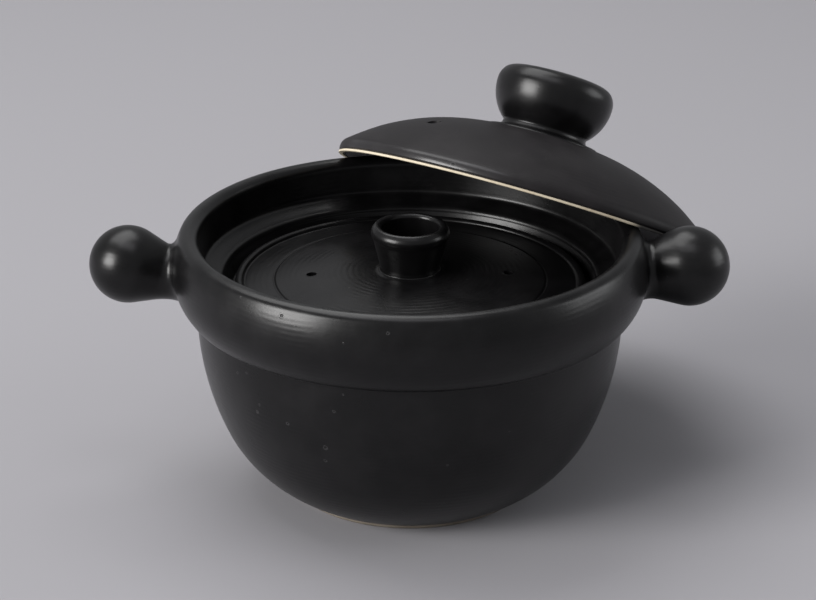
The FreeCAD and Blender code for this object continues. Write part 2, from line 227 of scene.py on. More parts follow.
@dataclass
class Contour:
    """Half section of a turned form, from start to end."""

    points: list[Point]
    corners: dict[int, float] = field(default_factory=dict)

    def _add(self, points: Sequence[Point], soft: float) -> "Contour":
        """Adds points, the last of them a corner that is rounded by so much."""
        self.points += points
        if soft:
            self.corners[len(self.points) - 1] = soft
        return self

    def line(self, radius: float, height: float, soft: float = 0.0, steps: int = 1) -> "Contour":
        """Straight to a point."""
        last = self.points[-1]
        run = [
            (
                last[0] + (radius - last[0]) * step / steps,
                last[1] + (height - last[1]) * step / steps,
            )
            for step in range(1, steps + 1)
        ]
        return self._add(run, soft)

    def through(self, middle: Point, end: Point, soft: float = 0.0, steps: int = 12) -> "Contour":
        """Arc by way of a middle point."""
        start = self.points[-1]
        (ax, ay), (bx, by), (cx, cy) = start, middle, end
        double = 2 * (ax * (by - cy) + bx * (cy - ay) + cx * (ay - by))
        squares = [x * x + y * y for x, y in (start, middle, end)]
        centre_x = (squares[0] * (by - cy) + squares[1] * (cy - ay) + squares[2] * (ay - by)) / double
        centre_y = (squares[0] * (cx - bx) + squares[1] * (ax - cx) + squares[2] * (bx - ax)) / double
        radius = math.hypot(ax - centre_x, ay - centre_y)
        angles = [math.atan2(y - centre_y, x - centre_x) for x, y in (start, middle, end)]
        whole = (angles[2] - angles[0]) % math.tau
        if (angles[1] - angles[0]) % math.tau > whole:
            whole -= math.tau
        run = [
            (
                centre_x + radius * math.cos(angles[0] + whole * step / steps),
                centre_y + radius * math.sin(angles[0] + whole * step / steps),
            )
            for step in range(1, steps)
        ]
        return self._add([*run, end], soft)

    def upright(self, end: Point, at_end: bool, soft: float = 0.0, steps: int = 12) -> "Contour":
        """Arc that stands upright at one of its ends."""
        return self.through(self._bulge(0, end, at_end), end, soft, steps)

    def flat(self, end: Point, at_end: bool, soft: float = 0.0, steps: int = 12) -> "Contour":
        """Arc that lies flat at one of its ends."""
        return self.through(self._bulge(1, end, at_end), end, soft, steps)

    def _bulge(self, axis: int, end: Point, at_end: bool) -> Point:
        """Point half way along an arc to an end, with its centre level with one end (0) or under it (1)."""
        start = self.points[-1]
        near, far = (end, start) if at_end else (start, end)
        run = (near[0] - far[0], near[1] - far[1])
        radius = (run[0] * run[0] + run[1] * run[1]) / (2 * run[axis])
        centre = (near[0] - radius, near[1]) if axis == 0 else (near[0], near[1] - radius)
        across = (start[0] + end[0]) / 2 - centre[0]
        up = (start[1] + end[1]) / 2 - centre[1]
        share = math.hypot(start[0] - centre[0], start[1] - centre[1]) / math.hypot(across, up)
        return centre[0] + across * share, centre[1] + up * share

    def softened(self) -> list[Point]:
        """The contour's points with each marked corner rounded."""
        reach = [0.0]
        for one, two in zip(self.points, self.points[1:]):
            reach.append(reach[-1] + math.hypot(two[0] - one[0], two[1] - one[1]))
        spans = [(reach[place] - soft, reach[place] + soft) for place, soft in self.corners.items()]
        kept = [
            (along, point)
            for along, point in zip(reach, self.points)
            if not any(low < along < high for low, high in spans)
        ]
        for place, soft in self.corners.items():
            low = self._at(reach, reach[place] - soft)
            high = self._at(reach, reach[place] + soft)
            corner = self.points[place]
            for step in range(CORNER_STEPS + 1):
                share = step / CORNER_STEPS
                parts = ((1 - share) ** 2, 2 * share * (1 - share), share ** 2)
                rounded = tuple(
                    low[axis] * parts[0] + corner[axis] * parts[1] + high[axis] * parts[2] for axis in (0, 1)
                )
                kept.append((reach[place] - soft + 2 * soft * share, rounded))
        return [point for _, point in sorted(kept)]

    def _at(self, reach: Sequence[float], along: float) -> Point:
        """Point at a distance along the contour."""
        for place in range(1, len(reach)):
            if along <= reach[place] or place == len(reach) - 1:
                share = (along - reach[place - 1]) / max(reach[place] - reach[place - 1], TINY)
                one, two = self.points[place - 1], self.points[place]
                return one[0] + (two[0] - one[0]) * share, one[1] + (two[1] - one[1]) * share
        return self.points[-1]


class Wheel:
    """Throws contours into closed shells with edit-mode operators.

    Attributes:
        axis_reach: Radius under which a point lies on the axis, in millimetres.
        weld: Distance at which two vertices become one, in metres.
        sharp: Angle from which a band's edges stay sharp, in degrees.
    """

    axis_reach = 1e-6
    weld = 1e-6
    sharp = 40.0

    def __init__(self, segments: int) -> None:
        """Sets how many facets a full turn has."""
        self.segments = segments

    def throw(self, name: str, contour: Contour, closed: bool = True) -> Piece:
        """Raises a wall ring by ring from a disc.

        Args:
            name: Name of the new piece.
            contour: Half section that starts on the axis, and ends on it if the shell is closed.
            closed: Whether the last ring is drawn together on the axis.

        Returns:
            The new object, upright at the origin.
        """
        rings = [point for point in contour.softened() if point[0] > self.axis_reach]
        shell = self._start(name, rings[0], "TRIFAN")
        middle = min(shell.data.vertices, key=lambda vertex: vertex.co.xy.length)
        middle.co.z = contour.points[0][1] * MM
        Handwork.open_up()
        bpy.ops.mesh.select_non_manifold()
        self._raise(rings)
        if closed:
            lift = (0, 0, (contour.points[-1][1] - rings[-1][1]) * MM)
            bpy.ops.mesh.extrude_region_move(TRANSFORM_OT_translate={"value": lift})
            bpy.ops.mesh.merge(type="CENTER")
        self._close_up()
        bpy.ops.object.shade_smooth()
        return shell

    def band(self, name: str, contour: Contour) -> Piece:
        """Raises a ring that stays clear of the axis.

        Args:
            name: Name of the new piece.
            contour: The ring's whole section, whose end is joined to its start.

        Returns:
            The new object, upright at the origin.
        """
        points = contour.softened()
        ring = self._start(name, points[0], "NOTHING")
        Handwork.open_up()
        bpy.ops.mesh.select_all(action="SELECT")
        self._raise([*points, points[0]])
        self._close_up()
        bpy.ops.object.shade_smooth_by_angle(angle=math.radians(self.sharp))
        return ring

    def _start(self, name: str, first: Point, fill: str) -> Piece:
        """Lays the first ring, filled or empty."""
        bpy.ops.object.select_all(action="DESELECT")
        bpy.ops.mesh.primitive_circle_add(
            vertices=self.segments, radius=first[0] * MM, fill_type=fill, location=(0, 0, first[1] * MM)
        )
        shell = bpy.context.object
        shell.name = shell.data.name = name
        bpy.ops.object.transform_apply()
        return shell

    @staticmethod
    def _raise(rings: Sequence[Point]) -> None:
        """Draws the picked ring from each radius and height to the next, with clay left between them."""
        for (from_radius, from_height), (to_radius, to_height) in zip(rings, rings[1:]):
            rise = (0, 0, (to_height - from_height) * MM)
            bpy.ops.mesh.extrude_region_move(TRANSFORM_OT_translate={"value": rise})
            size = to_radius / from_radius
            bpy.ops.transform.resize(value=(size, size, 1), center_override=(0, 0, to_height * MM))

    @classmethod
    def _close_up(cls) -> None:
        """Merges doubles, turns all faces outwards and leaves edit mode."""
        bpy.ops.mesh.select_all(action="SELECT")
        bpy.ops.mesh.remove_doubles(threshold=cls.weld)
        bpy.ops.mesh.normals_make_consistent(inside=False)
        bpy.ops.object.mode_set(mode="OBJECT")


class Handwork:
    """What a potter's hands and tools do to a thrown piece.

    Attributes:
        needle_facets: Facets of the boring needle.
        needle_length, needle_middle: Its length and the height of its middle, in millimetres.
        eased_edge: How far the edges of a hole are rounded, in millimetres.
        hole_reach: How near to the wall of a hole its edges lie, in millimetres.
        level_share: Steepest slope of an edge that is rounded.
        level_slack: Rise that counts as none, in metres.
    """

    needle_facets = 32
    needle_length = 200.0
    needle_middle = 20.0
    eased_edge = 0.75
    hole_reach = 0.02
    level_share = 0.3
    level_slack = 1e-7

    @staticmethod
    def only(piece: Piece) -> None:
        """Selects one object and makes it active."""
        bpy.ops.object.select_all(action="DESELECT")
        piece.select_set(True)
        bpy.context.view_layer.objects.active = piece

    @staticmethod
    def open_up() -> None:
        """Enters edit mode to pick edges, with none picked yet."""
        bpy.ops.object.mode_set(mode="EDIT")
        bpy.ops.mesh.select_mode(type="EDGE")
        bpy.ops.mesh.select_all(action="DESELECT")

    @classmethod
    def finish(cls, piece: Piece, kind: str, **settings: Any) -> None:
        """Adds a modifier with its settings and applies it."""
        cls.only(piece)
        modifier = piece.modifiers.new(kind.lower(), kind)
        for name, value in settings.items():
            setattr(modifier, name, value)
        bpy.ops.object.modifier_apply(modifier=modifier.name)

    @classmethod
    def wander(cls, piece: Piece, grain: float, depth: float) -> None:
        """Lets the surface sink a little and unevenly, as thrown clay does.

        Args:
            piece: The thrown piece.
            grain: Size of the hollows, in millimetres.
            depth: Deepest that the surface sinks, in millimetres.
        """
        clouds = bpy.data.textures.new("uneven_clay", "CLOUDS")
        clouds.noise_scale = grain * MM
        clouds.noise_depth = 1
        sink = {"texture": clouds, "texture_coords": "LOCAL", "mid_level": 1.0, "strength": depth * MM}
        cls.finish(piece, "DISPLACE", **sink)

    @classmethod
    def bore(cls, piece: Piece, reach: float, turn: float, diameter: float) -> None:
        """Cuts a round hole along the axis of a thrown piece and softens its edges.

        Args:
            piece: The thrown piece, still upright.
            reach: Distance of the hole from the axis, in millimetres.
            turn: Its direction from the axis, in degrees from X to Y.
            diameter: Width of the hole, in millimetres.
        """
        angle = math.radians(turn)
        centre = Vector((reach * math.cos(angle) * MM, reach * math.sin(angle) * MM))
        radius = diameter / 2 * MM
        bpy.ops.object.select_all(action="DESELECT")
        bpy.ops.mesh.primitive_cylinder_add(
            vertices=cls.needle_facets,
            radius=radius,
            depth=cls.needle_length * MM,
            location=(*centre, cls.needle_middle * MM),
        )
        needle = bpy.context.object
        cls.finish(piece, "BOOLEAN", operation="DIFFERENCE", solver="EXACT", object=needle)
        bpy.data.objects.remove(needle)
        cls.only(piece)
        cls.open_up()
        bpy.ops.object.mode_set(mode="OBJECT")
        near = {
            vertex.index
            for vertex in piece.data.vertices
            if abs((vertex.co.xy - centre).length - radius) < cls.hole_reach * MM
        }
        for edge in piece.data.edges:
            one, two = (piece.data.vertices[index].co for index in edge.vertices)
            level = abs(one.z - two.z) < cls.level_share * (one - two).length + cls.level_slack
            edge.select = set(edge.vertices) <= near and level
        bpy.ops.object.mode_set(mode="EDIT")
        bpy.ops.mesh.bevel(offset=cls.eased_edge * MM, segments=3, affect="EDGES", clamp_overlap=True)
        bpy.ops.object.mode_set(mode="OBJECT")

    @classmethod
    def set_down(cls, piece: Piece, pose: Pose) -> None:
        """Puts an upright piece where it stands, with its origin left at the frame's own."""
        cls.only(piece)
        piece.matrix_world = pose.matrix() @ piece.matrix_world
        bpy.ops.object.transform_apply()


@dataclass(frozen=True)
class Spot:
    """A round place on a piece, in the piece's own upright frame."""

    place: Place
    radius: float


@dataclass(frozen=True)
class BlackGlaze:
    """Satin black iron glaze, mottled, with fine grain, pinholes and faint turning rings.

    Grains are given per metre, and reliefs, depths and reaches in millimetres. Pinholes are painted darker
    inside as shade and lighter on their raised rims as glints.
    """

    name: str
    ring_by_height: bool
    rings_per_metre: float = 430.0
    ring_depth: float = 0.012
    ring_drift: float = 9.0
    ring_fade_grain: float = 70.0
    roughness: float = 0.25
    cloud_roughness: float = 0.07
    speckle_roughness: float = 0.05
    hole_roughness: float = 0.2
    gloss: float = 0.31
    colour: Colour = (0.0022, 0.0021, 0.0023)
    light_colour: Colour = (0.0060, 0.0057, 0.0061)
    # Colours and shares of the painted glints on the pinholes' rims and the painted shade in the pits.
    rim_glint_colour: Colour = (0.060, 0.059, 0.061)
    pit_shade_colour: Colour = (0.0022, 0.0021, 0.0020)
    rim_glint_share: float = 0.35
    pit_shade_share: float = 0.85
    drift_grain: float = 18.0
    cloud_grain: float = 55.0
    cloud_relief: float = 0.10
    sand_grain: float = 900.0
    sand_relief: float = 0.016
    speckle_grain: float = 2600.0
    speckle_relief: float = 0.004
    ragged_grain: float = 1300.0
    ragged_reach: float = 0.55
    pit_grain: float = 110.0
    pit_size: float = 0.016
    pit_spread: float = 0.026
    pit_depth: float = 0.16
    spots: tuple[Spot, ...] = ()
    spot_depth: float = 0.22
    edge_relief: float = 0.03
    pool: Optional[Spot] = None
    pool_fade: float = 15.0
    pool_edge: float = 90.9
    pool_edge_width: float = 0.8
    pool_coat: float = 0.6
    pool_roughness: float = 0.22

    def build(self, pose: Pose) -> bpy.types.Material:
        """Makes the material.

        Args:
            pose: Where the piece stands, so that the rings follow its own axis.

        Returns:
            The finished material.
        """
        bench = Bench(self.name)
        place = bench.own_place(pose)
        height = bench.node("ShaderNodeSeparateXYZ", {}, {0: place}, "Z")
        flat = bench.node("ShaderNodeVectorMath", {"operation": "MULTIPLY"}, {0: place, 1: (1.0, 1.0, 0.0)})
        radius = bench.node("ShaderNodeVectorMath", {"operation": "LENGTH"}, {0: flat}, "Value")
        drift = bench.noise(place, self.drift_grain, 1.0)
        cloud = bench.noise(place, self.cloud_grain, 3.0, 0.6)
        sand = bench.noise(place, self.sand_grain, 2.0, 0.6)
        speckle = bench.noise(place, self.speckle_grain, 1.0)
        rings = self._rings(bench, place, height if self.ring_by_height else radius, drift)
        holes, edges, depth = self._pinholes(bench, place, drift)
        mottle = cloud.step(0.35, 0.75) * 0.7 + speckle.step(0.62, 0.8) * 0.3
        tint = bench.mix(mottle, self.colour, self.light_colour)
        # Painted glints lighten the pinholes' raised rims and painted shade darkens the pits.
        glint_tint = bench.mix(edges * self.rim_glint_share, tint, self.rim_glint_colour)
        bench.put("Base Color", bench.mix(holes * self.pit_shade_share, glint_tint, self.pit_shade_colour))
        uneven = cloud.step(0.25, 0.8) * self.cloud_roughness + speckle * self.speckle_roughness
        bench.put("Roughness", uneven + self.roughness + holes * self.hole_roughness)
        bench.put("Specular IOR Level", self.gloss)
        if self.pool is not None:
            self._coat(bench, place, radius, self.pool)
        relief = (
            rings * (self.ring_depth * MM)
            + cloud * (self.cloud_relief * MM)
            + sand * (self.sand_relief * MM)
            + speckle * (self.speckle_relief * MM)
            + edges * (self.edge_relief * MM)
            - depth
        )
        bench.put("Normal", bench.bump(relief))
        return bench.material

    def _rings(self, bench: Bench, place: Wire, along: Wire, drift: Wire) -> Wire:
        """Turning rings that come and go.

        Args:
            bench: The material's bench.
            place: Coordinates of the piece.
            along: Height or radius that the rings follow.
            drift: Slow noise that sways them.

        Returns:
            Waves between -1 and 1.
        """
        wave = (along * (self.rings_per_metre * math.tau) + drift * self.ring_drift).sine()
        return wave * bench.noise(place, self.ring_fade_grain).step(0.35, 0.7)

    def _pinholes(self, bench: Bench, place: Wire, drift: Wire) -> tuple[Wire, Wire, Wire]:
        """Sparse pinholes, more of them in patches, and the piece's own larger ones, as masks for painted
        shade in the pits and painted glints on their rims.

        Args:
            bench: The material's bench.
            place: Coordinates of the piece.
            drift: Slow noise that says where the patches are.

        Returns:
            1 inside a hole, 1 on its raised edge, and how deep it is in metres.
        """
        ragged = bench.ragged(place, self.ragged_grain, self.ragged_reach * MM)
        cells = {"feature": "F1", "distance": "EUCLIDEAN"}
        values = {"Vector": ragged, "Scale": self.pit_grain}
        near = bench.node("ShaderNodeTexVoronoi", cells, values, "Distance")
        tone = bench.node("ShaderNodeTexVoronoi", cells, values, "Color")
        chance = bench.node("ShaderNodeSeparateColor", {}, {0: tone}, "Red") + drift.step(0.48, 0.62) * 0.25
        size = bench.node("ShaderNodeSeparateColor", {}, {0: tone}, "Green")
        wanted = chance.step(0.86, 0.88)
        reach = near / (size * self.pit_spread + self.pit_size)
        holes = reach.step(1.15, 0.75) * wanted
        edges = reach.step(0.9, 1.25) * reach.step(2.1, 1.5) * wanted
        depth = holes * (self.pit_depth * MM)
        for spot in self.spots:
            away = bench.away(ragged, spot) / (spot.radius * MM)
            hole = away.step(1.1, 0.6)
            holes = holes.most(hole)
            edges = edges.most(away.step(0.8, 1.2) * away.step(2.0, 1.5))
            depth = depth + hole * (self.spot_depth * MM)
        return holes, edges, depth

    def _coat(self, bench: Bench, place: Wire, radius: Wire, pool: Spot) -> None:
        """Makes the rim glossy where glaze has pooled.

        Args:
            bench: The material's bench.
            place: Coordinates of the piece.
            radius: Distance from the piece's axis.
            pool: Where the glaze has pooled.
        """
        near = bench.away(place, pool).step((pool.radius + self.pool_fade) * MM, pool.radius * MM)
        pooled = near * radius.step(self.pool_edge * MM, (self.pool_edge + self.pool_edge_width) * MM)
        bench.put("Coat Weight", pooled * self.pool_coat)
        bench.put("Coat Roughness", self.pool_roughness)


@dataclass(frozen=True)
class BareClay:
    """Unglazed clay, matt, sandy and a little stained, painted dark as shade round its given spots.

    Grains are given per metre, and reliefs and reaches in millimetres.
    """

    name: str
    colour: Colour
    stain: Colour
    roughness: float = 0.78
    sand_roughness: float = 0.12
    patch_grain: float = 60.0
    sand_grain: float = 1500.0
    sand_relief: float = 0.05
    grit_grain: float = 3200.0
    grit_relief: float = 0.02
    # Spots where the clay is painted dark as shade, that colour, and how it fades and frays.
    shade_spots: tuple[Spot, ...] = ()
    painted_shade_colour: Colour = (0.02, 0.018, 0.016)
    shade_fade: float = 8.0
    shade_fray: float = 6.0

    def build(self, pose: Pose) -> bpy.types.Material:
        """Makes the material.

        Args:
            pose: Where the piece stands.

        Returns:
            The finished material.
        """
        bench = Bench(self.name)
        place = bench.own_place(pose)
        patches = bench.noise(place, self.patch_grain, 3.0, 0.6)
        sand = bench.noise(place, self.sand_grain, 2.0, 0.6)
        grit = bench.noise(place, self.grit_grain, 1.0)
        stained = patches.step(0.45, 0.8) * 0.7 + grit.step(0.66, 0.74) * 0.5
        tint = bench.mix(stained, self.colour, self.stain)
        # Painted shade round each spot, frayed by the patch noise.
        for shade_spot in self.shade_spots:
            away = bench.away(place, shade_spot) + patches * (self.shade_fray * MM)
            in_shade = away.step((shade_spot.radius + self.shade_fade) * MM, shade_spot.radius * MM)
            tint = bench.mix(in_shade, tint, self.painted_shade_colour)
        bench.put("Base Color", tint)
        bench.put("Roughness", sand * self.sand_roughness + self.roughness)
        bench.put("Normal", bench.bump(sand * (self.sand_relief * MM) + grit * (self.grit_relief * MM)))
        return bench.material


class Register:
    """Hands finished pieces to the frame."""

    @staticmethod
    def enter(piece: Piece, clay: Clay, material: bpy.types.Material, *nodes: str) -> None:
        """Dresses a piece and ties it to the frame.

        Args:
            piece: The finished piece.
            clay: Finish that the record names.
            material: The material it wears.
            nodes: CAD nodes that the piece stands for.
        """
        piece.data.materials.clear()
        piece.data.materials.append(material)
        if nodes:
            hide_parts(*nodes)
        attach(piece, "root")
        log.info("%s: %d faces, %s", piece.name, len(piece.data.polygons), clay.value)


@dataclass
class Pot:
    """The pot: bare foot, round bowl, collar, lip, ledge, seat and cooking space."""

    foot_radius: float = 55.8
    foot_height: float = 2.0
    foot_bevel: float = 0.8
    foot_lap: float = 0.6
    foot_ring: float = 20.0
    shell_inset: float = 1.2
    glaze_step: float = 1.4
    lower: Point = (74.95, 16.0)
    knee: Point = (84.8, 30.0)
    crease: Point = (98.1, 87.4)
    collar_edge: Point = (101.7, 88.9)
    collar: Point = (109.1, 107.0)
    lip: Point = (101.5, 120.0)
    lip_round: float = 4.9
    lip_break: float = 20.0
    well: Point = (95.4, 109.5)
    well_bend: Point = (94.875, 107.633)
    ledge: Point = (93.3, 106.7)
    nose: Point = (88.0, 104.5)
    nose_round: float = 2.9
    seat_radius: float = 82.4
    seat_height: float = 96.3
    seat_width: float = 8.0
    mouth_drop: float = 3.0
    belly: Point = (81.0, 62.0)
    inner_knee: Point = (70.5, 33.0)
    floor_radius: float = 30.0
    floor_ring: float = 8.0
    floor_height: float = 13.0
    # Larger real pinholes, which the glaze paints dark inside as shade and light on their rims as glints.
    flaws:tuple[Spot, ...] = (
        Spot((-55.2, -91.4, 120.0), 0.75),
        Spot((-9.3, -106.8, 118.6), 0.5),
        Spot((-53.6, -79.5, 63.5), 0.55),
        Spot((-36.8, -86.6, 55.2), 0.7),
        Spot((-36.9, -84.3, 47.8), 0.5),
        Spot((-67.4, -68.3, 64.0), 0.55),
        Spot((-66.4, -70.3, 68.5), 0.4),
        Spot((-32.8, -91.9, 75.2), 0.45),
        Spot((-76.3, -61.3, 79.8), 0.4),
        Spot((-72.1, -66.4, 82.0), 0.4),
    )

    def contour(self) -> Contour:
        """Half section of the glazed clay, from under the foot over the lip to the middle of the floor."""
        turn = math.radians(self.lip_break)
        lip_out = (
            self.lip[0] + self.lip_round * math.cos(turn),
            self.lip[1] + self.lip_round * math.sin(turn),
        )
        lip_top = (self.lip[0], self.lip[1] + self.lip_round)
        lip_in = (self.lip[0] - self.lip_round, self.lip[1])
        inset = self.shell_inset
        inner = self.seat_radius - self.seat_width
        section = Contour([(0.0, inset)])
        section.line(self.foot_ring, inset).line(self.foot_radius - inset, inset, steps=3)
        section.line(self.foot_radius - 0.3, self.foot_height - 0.1, 0.2)
        section.line(self.foot_radius + self.glaze_step, self.foot_height + self.glaze_step * 0.3, 0.5)
        section.through(self.lower, self.knee, steps=14)
        section.upright(self.crease, True, 0.8, steps=24)
        section.line(*self.collar_edge, 1.6)
        section.upright(self.collar, True)
        section.upright(lip_out, False, steps=9)
        section.through(lip_top, lip_in, steps=18)
        section.line(*self.well, steps=6)
        section.through(self.well_bend, self.ledge, steps=5)
        section.line(*self.nose, steps=3)
        section.upright((self.nose[0] - self.nose_round, self.nose[1] - self.nose_round), True, 0.5, steps=7)
        section.line(self.seat_radius, self.seat_height, 0.8, steps=3)
        section.line(inner, self.seat_height, 0.7, steps=4)
        section.line(inner, self.seat_height - self.mouth_drop, 0.6, steps=2)
        section.upright(self.belly, True)
        section.upright(self.inner_knee, False)
        section.flat((self.floor_radius, self.floor_height), True)
        section.line(self.floor_ring, self.floor_height, steps=3).line(0.0, self.floor_height)
        return section

    def foot_contour(self) -> Contour:
        """Half section of the bare foot."""
        top = self.foot_height + self.foot_lap
        section = Contour([(0.0, 0.0)])
        section.line(self.foot_ring, 0.0).line(self.foot_radius - self.foot_bevel, 0.0, 0.2, steps=3)
        section.line(self.foot_radius, self.foot_bevel, 0.3)
        section.line(self.foot_radius, self.foot_height + 0.2, 0.1)
        section.line(self.foot_radius - 2.0, top)
        section.line(self.foot_ring, top).line(0.0, top)
        return section

    def build(self) -> tuple[Piece, bpy.types.Material]:
        """Throws the pot and its foot, and dresses both.

        Returns:
            The glazed pot, for the knobs to be luted to, and its glaze.
        """
        bowl = Wheel(208).throw("pot_bowl", self.contour())
        Handwork.wander(bowl, 60.0, 0.22)
        foot = Wheel(160).throw("pot_foot", self.foot_contour())
        glaze = BlackGlaze("black_glaze_pot", True, ring_depth=0.010, spots=self.flaws).build(Pose())
        Register.enter(bowl, Clay.GLAZED, glaze, "pot")
        # The foot's bare clay is painted about three times darker than the rim's, as shade under the bowl.
        bare = BareClay("bare_clay_foot_shaded", (0.17, 0.145, 0.115), (0.08, 0.065, 0.05))
        Register.enter(foot, Clay.BARE, bare.build(Pose()))
        return bowl, glaze


@dataclass
class BallKnob:
    """A ball on a tapering neck, luted to the collar with its root smoothed over."""

    name: str
    side: int
    reach: float = 128.3
    height: float = 107.8
    radius: float = 18.4
    tilt: float = 7.5
    taper: float = 20.0
    ball_steps: int = 30
    neck_rings: tuple[float, ...] = (8.0, 11.0)
    neck_end: float = 14.5
    neck_cuts: int = 5
    seam_radius: float = 12.0
    seam_start: float = 17.0
    skirt: tuple[float, ...] = (12.8, 13.6, 14.5, 15.4, 16.2, 16.9)
    skirt_lift: float = 0.02
    smoothed_rings: int = 5
    strokes: int = 120

    def contour(self) -> Contour:
        """Half section from the tip of the ball to the open end of the neck, with the ball's centre at 0."""
        section = Contour([(0.0, self.radius)])
        last = 90 + self.taper
        for step in range(1, self.ball_steps + 1):
            turn = math.radians(last * step / self.ball_steps)
            section.line(self.radius * math.sin(turn), self.radius * math.cos(turn))
        for away in (*self.neck_rings, self.neck_end):
            section.line(self._neck(away), -away)
        return section

    def _neck(self, away: float) -> float:
        """Radius of the neck at a distance from the ball's centre."""
        taper = math.radians(self.taper)
        return (self.radius - away * math.sin(taper)) / math.cos(taper)

    def build(self, bowl: Piece, glaze: bpy.types.Material) -> None:
        """Models the knob against its side of the bowl.

        Args:
            bowl: The bowl that the knob is luted to.
            glaze: The bowl's own glaze.
        """
        knob = Wheel(80).throw(self.name, self.contour(), closed=False)
        lean = Matrix.Rotation(math.radians(self.side * (90 - self.tilt)), 3, "Y")
        Handwork.set_down(knob, Pose(Vector((self.side * self.reach * MM, 0, self.height * MM)), lean))
        self._lute(knob, bowl, lean @ Vector((0, 0, 1)))
        Register.enter(knob, Clay.GLAZED, glaze)

    def _lute(self, knob: Piece, bowl: Piece, axis: Vector) -> None:
        """Lays a skirt round the knob's place on the collar, joins the neck to it and smooths the joint.

        Args:
            knob: The knob, already in place, open towards the bowl.
            bowl: The bowl that it is luted to.
            axis: The knob's axis, outwards.
        """
        middle = Vector((self.side * self.reach, 0, self.height)) * MM - axis * self.seam_start * MM
        Handwork.only(knob)
        Handwork.open_up()
        bpy.ops.mesh.select_non_manifold()
        neck = self._picked(knob)
        slide = -axis * (self.seam_start - self.neck_end) * MM
        bpy.ops.mesh.duplicate_move(TRANSFORM_OT_translate={"value": slide})
        size = self.seam_radius / self._neck(self.neck_end)
        bpy.ops.transform.resize(value=(size, size, size), center_override=middle)
        seam = self._picked(knob)
        rings = [seam]
        for inner, outer in zip((self.seam_radius, *self.skirt), self.skirt):
            bpy.ops.mesh.extrude_region_move(TRANSFORM_OT_translate={"value": (0, 0, 0)})
            bpy.ops.transform.resize(value=(outer / inner,) * 3, center_override=middle)
            rings.append(self._picked(knob))
        bpy.ops.object.mode_set(mode="OBJECT")
        self._lay_on(knob, bowl, [index for ring in rings for index in ring])
        self._pick(knob, [neck, seam])
        bpy.ops.object.mode_set(mode="EDIT")
        before = len(knob.data.vertices)
        bpy.ops.mesh.bridge_edge_loops(number_cuts=self.neck_cuts, interpolation="LINEAR")
        bpy.ops.object.mode_set(mode="OBJECT")
        bridged = list(range(before, len(knob.data.vertices)))
        self._pick(knob, [bridged + [index for ring in rings[: self.smoothed_rings] for index in ring]])
        bpy.ops.object.mode_set(mode="EDIT")
        bpy.ops.mesh.vertices_smooth(factor=0.5, repeat=self.strokes)
        bpy.ops.mesh.select_all(action="SELECT")
        bpy.ops.mesh.normals_make_consistent(inside=False)
        bpy.ops.object.mode_set(mode="OBJECT")
        bpy.ops.object.shade_smooth()

    @staticmethod
    def _picked(knob: Piece) -> list[int]:
        """Indices of the vertices that are selected in edit mode."""
        bpy.ops.object.mode_set(mode="OBJECT")
        indices = [vertex.index for vertex in knob.data.vertices if vertex.select]
        bpy.ops.object.mode_set(mode="EDIT")
        return indices

    @staticmethod
    def _pick(knob: Piece, groups: Sequence[Sequence[int]]) -> None:
        """Selects the edges that lie within one of the groups of vertices."""
        Handwork.open_up()
        bpy.ops.object.mode_set(mode="OBJECT")
        for group in map(set, groups):
            for edge in knob.data.edges:
                if set(edge.vertices) <= group:
                    edge.select = True
            for index in group:
                knob.data.vertices[index].select = True

    def _lay_on(self, knob: Piece, bowl: Piece, indices: Sequence[int]) -> None:
        """Lays the skirt's rings on the bowl's surface, straight in along X."""
        group = knob.vertex_groups.new(name="skirt")
        group.add(list(indices), 1.0, "REPLACE")
        Handwork.finish(
            knob,
            "SHRINKWRAP",
            target=bowl,
            wrap_method="PROJECT",
            use_project_x=True,
            use_negative_direction=self.side > 0,
            use_positive_direction=self.side < 0,
            wrap_mode="ON_SURFACE",
            offset=self.skirt_lift * MM,
            vertex_group="skirt",
        )


